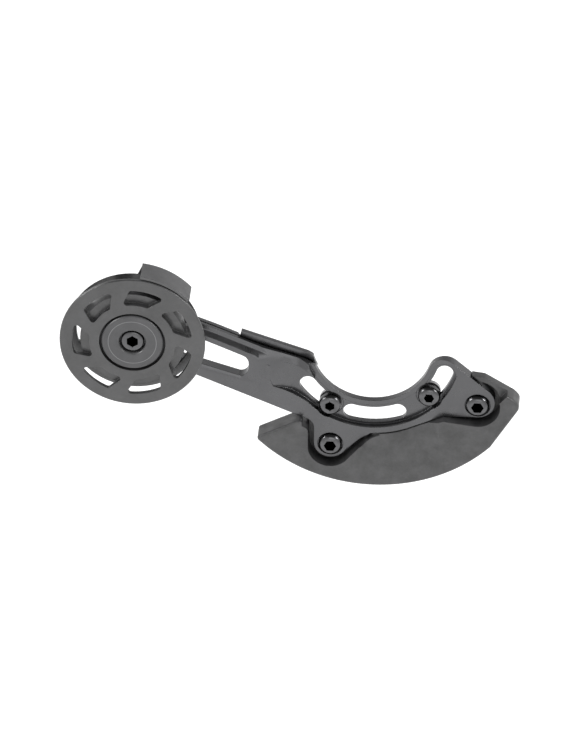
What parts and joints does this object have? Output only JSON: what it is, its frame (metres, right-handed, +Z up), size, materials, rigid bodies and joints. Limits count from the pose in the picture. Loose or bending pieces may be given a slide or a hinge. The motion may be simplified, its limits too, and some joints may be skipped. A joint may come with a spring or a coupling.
{
  "type": "bicycle chain guide",
  "caption": "Bicycle chain guide: slotted plate with an arm that carries a grooved idler pulley on a ball bearing, a chain keeper lip over it and a bolted skid guard below.",
  "frame": {"origin": "on the bottom bracket axis, in the plane of the plate's rear face", "axes": "+X towards the front of the bicycle, +Z up, +Y towards the bicycle frame along the bottom bracket axis"},
  "size_m": [0.1656, 0.0191, 0.09],
  "materials": {
    "plate": "black anodised, satin",
    "black_steel": "black oxide, glossy",
    "washer": "plain, satin",
    "guard": "moulded, slightly mottled",
    "insert": "turned",
    "keeper": "black, satin",
    "turned_black": "black anodised, turned",
    "bearing_steel": "ground",
    "cage": "moulded",
    "seal": "matte",
    "pulley": "moulded, satin"
  },
  "bodies": {
    "guide": {"backplate": "plate", "mount_bolts": "black_steel", "mount_spacers": "washer", "skid_plate": "guard", "skid_inserts": "insert", "skid_bolts": "black_steel", "chain_keeper": "keeper", "rear_spacer": "turned_black", "bearing_inner_ring": "bearing_steel", "bearing_cap": "turned_black", "axle_bolt": "black_steel"},
    "pulley": {"pulley_wheel": "pulley", "bearing_outer_ring": "bearing_steel", "bearing_seal_front": "seal", "bearing_seal_rear": "seal"},
    "ball_set": {"bearing_balls": "bearing_steel", "bearing_cage": "cage"}
  },
  "joints": [
    {"name": "pulley_spin", "type": "hinge", "parent": "guide", "child": "pulley", "pos_m": [-0.0856, -0.0109, 0.00715], "axis": [0, 1, 0], "continuous": true},
    {"name": "ball_set_spin", "type": "hinge", "parent": "guide", "child": "ball_set", "pos_m": [-0.0856, -0.0109, 0.00715], "axis": [0, 1, 0], "continuous": true}
  ],
  "couplings": [
    {"joint": "ball_set_spin", "follows": "pulley_spin", "ratio": 0.561}
  ]
}
